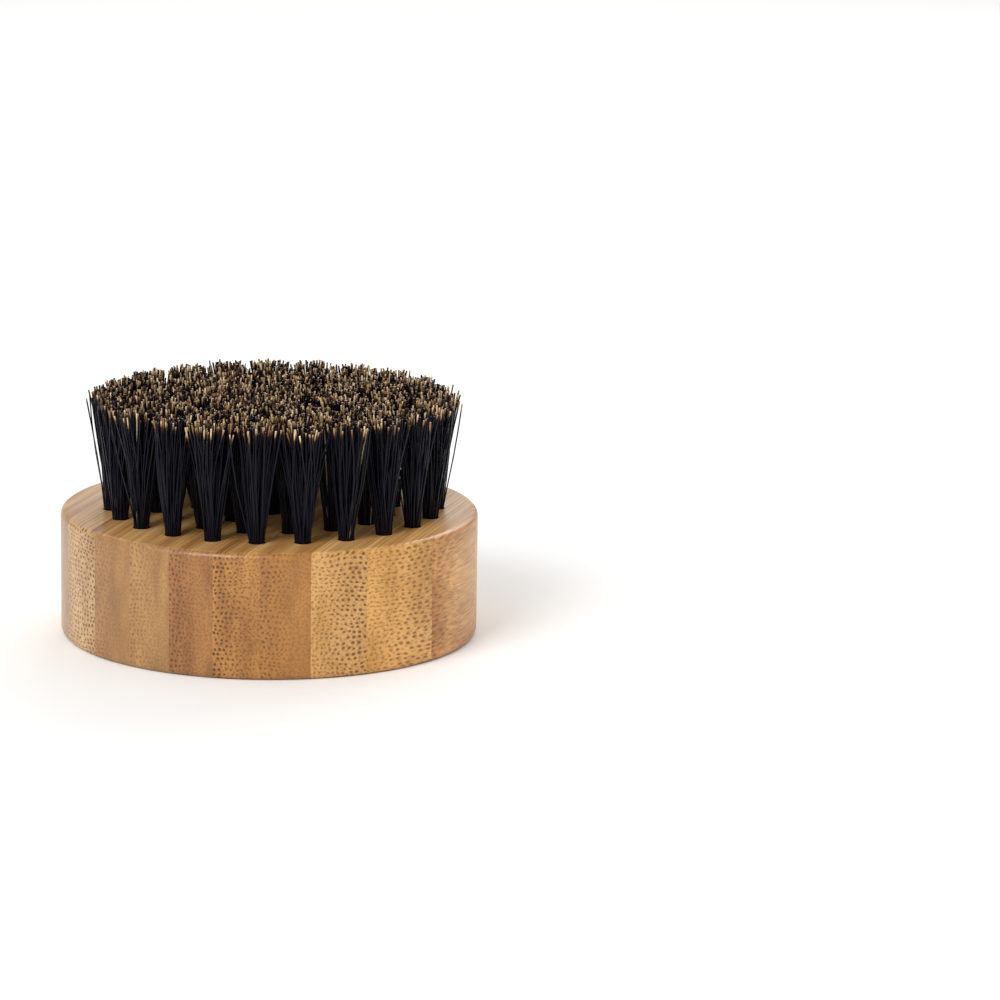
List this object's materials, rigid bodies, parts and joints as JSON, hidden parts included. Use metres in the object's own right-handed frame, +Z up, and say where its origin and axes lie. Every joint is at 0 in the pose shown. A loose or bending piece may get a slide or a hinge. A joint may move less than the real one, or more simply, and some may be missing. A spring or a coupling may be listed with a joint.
{
  "type": "beard brush",
  "caption": "Round palm brush for beards: stiff dark bristle tufts set in rings in a flat laminated bamboo disc.",
  "frame": {"origin": "centre of the disc's flat base", "axes": "+Z up through the disc, out of the base towards the bristle tips; -Y is the side shown in front; the bamboo's grain runs 74.4 degrees from +X in plan"},
  "size_m": [0.06, 0.06, 0.0345],
  "materials": {
    "bamboo": "satin lacquered laminated bamboo",
    "boar_bristle": "stiff near-black boar bristle with natural blond tips",
    "anchor_strip": "galvanised flat steel wire"
  },
  "bodies": {
    "root": {"bamboo_slat_01": "bamboo", "bamboo_slat_02": "bamboo", "bamboo_slat_03": "bamboo", "bamboo_slat_04": "bamboo", "bamboo_slat_05": "bamboo", "bamboo_slat_06": "bamboo", "bamboo_slat_07": "bamboo", "bamboo_slat_08": "bamboo", "bamboo_slat_09": "bamboo", "bamboo_slat_10": "bamboo", "tuft_outer_01": "boar_bristle", "tuft_outer_02": "boar_bristle", "tuft_outer_03": "boar_bristle", "tuft_outer_04": "boar_bristle", "tuft_outer_05": "boar_bristle", "tuft_outer_06": "boar_bristle", "tuft_outer_07": "boar_bristle", "tuft_outer_08": "boar_bristle", "tuft_outer_09": "boar_bristle", "tuft_outer_10": "boar_bristle", "tuft_outer_11": "boar_bristle", "tuft_outer_12": "boar_bristle", "tuft_outer_13": "boar_bristle", "tuft_outer_14": "boar_bristle", "tuft_outer_15": "boar_bristle", "tuft_outer_16": "boar_bristle", "tuft_outer_17": "boar_bristle", "tuft_outer_18": "boar_bristle", "tuft_outer_19": "boar_bristle", "tuft_outer_20": "boar_bristle", "tuft_outer_21": "boar_bristle", "tuft_outer_22": "boar_bristle", "tuft_outer_23": "boar_bristle", "tuft_second_01": "boar_bristle", "tuft_second_02": "boar_bristle", "tuft_second_03": "boar_bristle", "tuft_second_04": "boar_bristle", "tuft_second_05": "boar_bristle", "tuft_second_06": "boar_bristle", "tuft_second_07": "boar_bristle", "tuft_second_08": "boar_bristle", "tuft_second_09": "boar_bristle", "tuft_second_10": "boar_bristle", "tuft_second_11": "boar_bristle", "tuft_second_12": "boar_bristle", "tuft_second_13": "boar_bristle", "tuft_second_14": "boar_bristle", "tuft_second_15": "boar_bristle", "tuft_second_16": "boar_bristle", "tuft_second_17": "boar_bristle", "tuft_third_01": "boar_bristle", "tuft_third_02": "boar_bristle", "tuft_third_03": "boar_bristle", "tuft_third_04": "boar_bristle", "tuft_third_05": "boar_bristle", "tuft_third_06": "boar_bristle", "tuft_third_07": "boar_bristle", "tuft_centre_01": "boar_bristle", "tuft_centre_02": "boar_bristle", "tuft_centre_03": "boar_bristle"}
  },
  "joints": []
}
